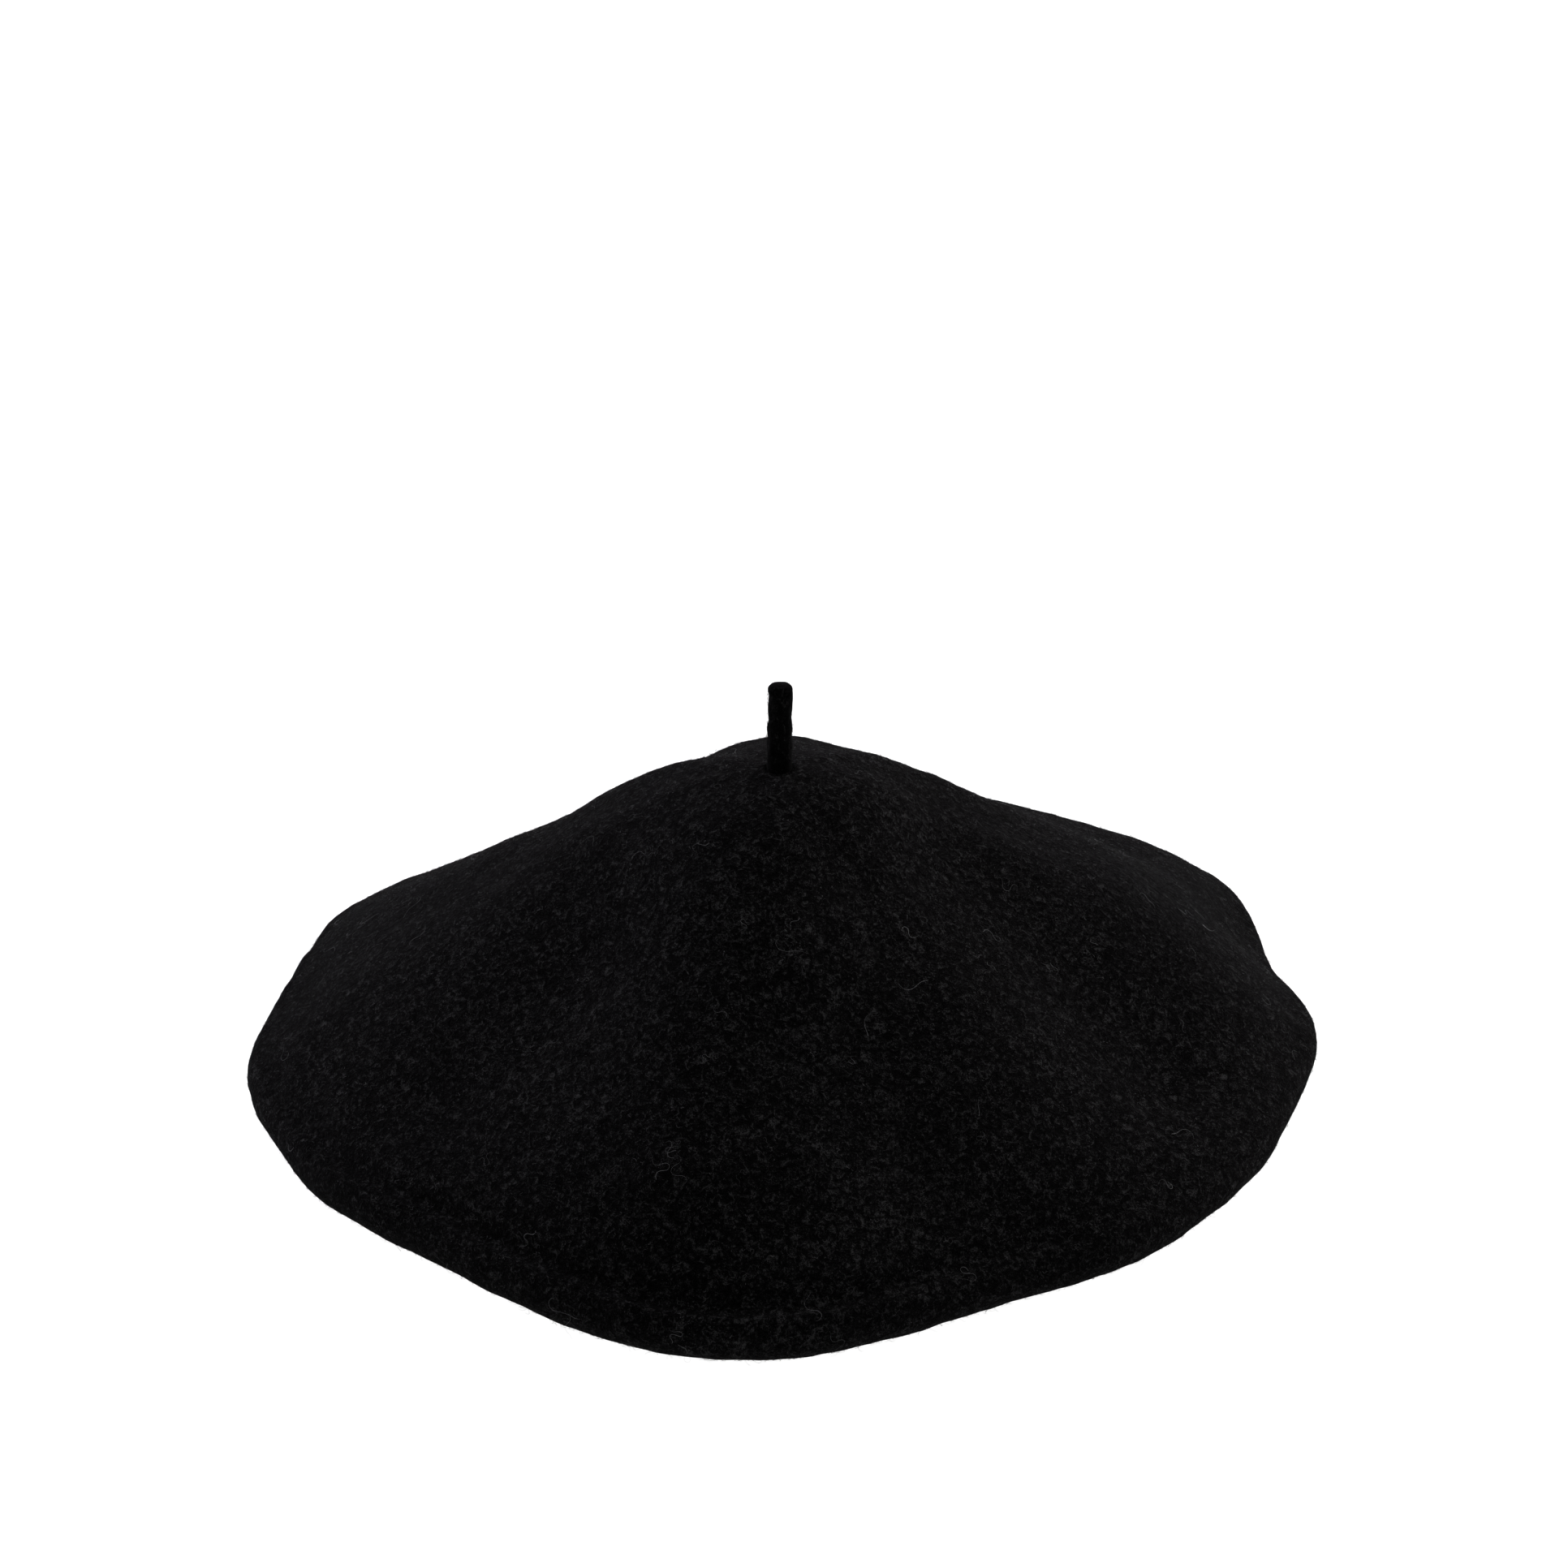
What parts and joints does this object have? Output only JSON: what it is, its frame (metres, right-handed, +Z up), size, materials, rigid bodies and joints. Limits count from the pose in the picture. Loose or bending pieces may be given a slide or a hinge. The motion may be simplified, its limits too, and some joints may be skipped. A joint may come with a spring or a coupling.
{
  "type": "beret",
  "caption": "Soft round felted-wool beret with a raised floppy crown, a short upright stem, a rolled rim, a satin lining and a leather sweatband round its head opening.",
  "frame": {"origin": "on the shelf the beret stands on, under the middle of its overall size in plan", "axes": "+Z up through the stem, -Y the front, +Y the centre back where the sweatband's ends meet, +X the right as seen from the front"},
  "size_m": [0.2402, 0.2275, 0.1084],
  "materials": {
    "wool_felt": "napped, matt",
    "stem_felt": "tight felt, matt",
    "root_thread": "matt",
    "satin_lining_tip": "satin",
    "satin_lining_side": "satin",
    "lining_thread": "matt",
    "band_leather": "semi-matt grain",
    "band_thread": "matt",
    "joint_thread": "matt",
    "size_label_weave": "woven, matt",
    "size_label_thread": "matt",
    "care_label_weave": "woven, soft sheen",
    "care_label_thread": "matt"
  },
  "bodies": {
    "beret": {"felt_body": "wool_felt", "stem_root_stitching": "root_thread", "lining_tip": "satin_lining_tip", "lining_side": "satin_lining_side", "lining_seam_stitching": "lining_thread", "sweatband": "band_leather", "sweatband_stitching": "band_thread", "sweatband_joint_stitching": "joint_thread", "size_label_tack": "size_label_thread", "care_label_tack": "care_label_thread"},
    "stem": {"stem": "stem_felt"},
    "size_label": {"size_label": "size_label_weave"},
    "care_label": {"care_label": "care_label_weave"}
  },
  "joints": [
    {"name": "stem_tilt", "type": "hinge", "parent": "beret", "child": "stem", "pos_m": [-0.00075, -0.00742, 0.08828], "axis": [0, 1, 0], "range_deg": [-30, 30], "stiffness_Nm_per_rad": 0.0006},
    {"name": "size_label_flap", "type": "hinge", "parent": "beret", "child": "size_label", "pos_m": [0.01975, 0.07938, 0.018], "axis": [-0.9642, 0.2651, 0], "range_deg": [0, 140]},
    {"name": "care_label_flap", "type": "hinge", "parent": "beret", "child": "care_label", "pos_m": [-0.04948, 0.06346, 0.018], "axis": [-0.7576, -0.6528, 0], "range_deg": [0, 140]}
  ]
}
